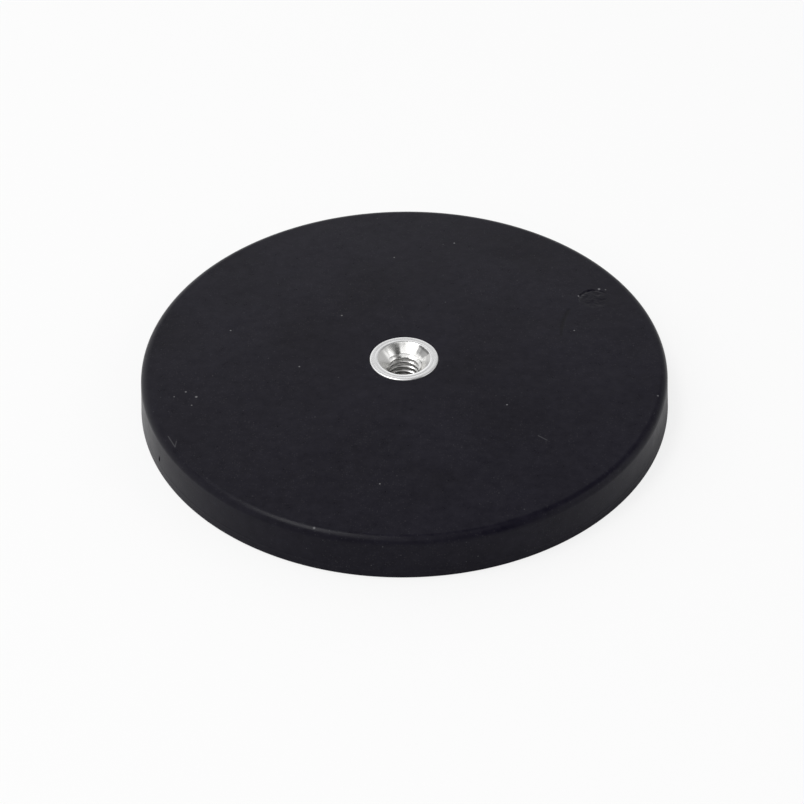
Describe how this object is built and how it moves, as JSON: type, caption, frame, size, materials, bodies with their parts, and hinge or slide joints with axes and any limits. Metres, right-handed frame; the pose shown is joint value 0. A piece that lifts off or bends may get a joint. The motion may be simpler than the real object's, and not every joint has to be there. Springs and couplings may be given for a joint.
{
  "type": "rubber-coated pot magnet",
  "caption": "Round flat pot magnet in a black rubber jacket, with a countersunk, internally threaded steel bush flush in the middle of its top and a plain magnetic base face.",
  "frame": {"origin": "centre of the magnetic base face, which the part rests on", "axes": "+Z along the thread's axis, out of the top; the moulding gate mark lies between +X and +Y; the part is otherwise round about Z"},
  "size_m": [0.088, 0.088, 0.0076],
  "materials": {
    "black_rubber": "satin",
    "plated_bush": "turned, bright zinc plated",
    "plate_steel": "punched mild steel, zinc plated",
    "magnet_nickel": "nickel plated"
  },
  "bodies": {
    "root": {"rubber_jacket": "black_rubber", "threaded_bush": "plated_bush", "steel_plate": "plate_steel", "inner_magnet_1": "magnet_nickel", "inner_magnet_2": "magnet_nickel", "inner_magnet_3": "magnet_nickel", "inner_magnet_4": "magnet_nickel", "inner_magnet_5": "magnet_nickel", "inner_magnet_6": "magnet_nickel", "outer_magnet_1": "magnet_nickel", "outer_magnet_2": "magnet_nickel", "outer_magnet_3": "magnet_nickel", "outer_magnet_4": "magnet_nickel", "outer_magnet_5": "magnet_nickel", "outer_magnet_6": "magnet_nickel", "outer_magnet_7": "magnet_nickel", "outer_magnet_8": "magnet_nickel", "outer_magnet_9": "magnet_nickel", "outer_magnet_10": "magnet_nickel", "outer_magnet_11": "magnet_nickel", "outer_magnet_12": "magnet_nickel"}
  },
  "joints": []
}
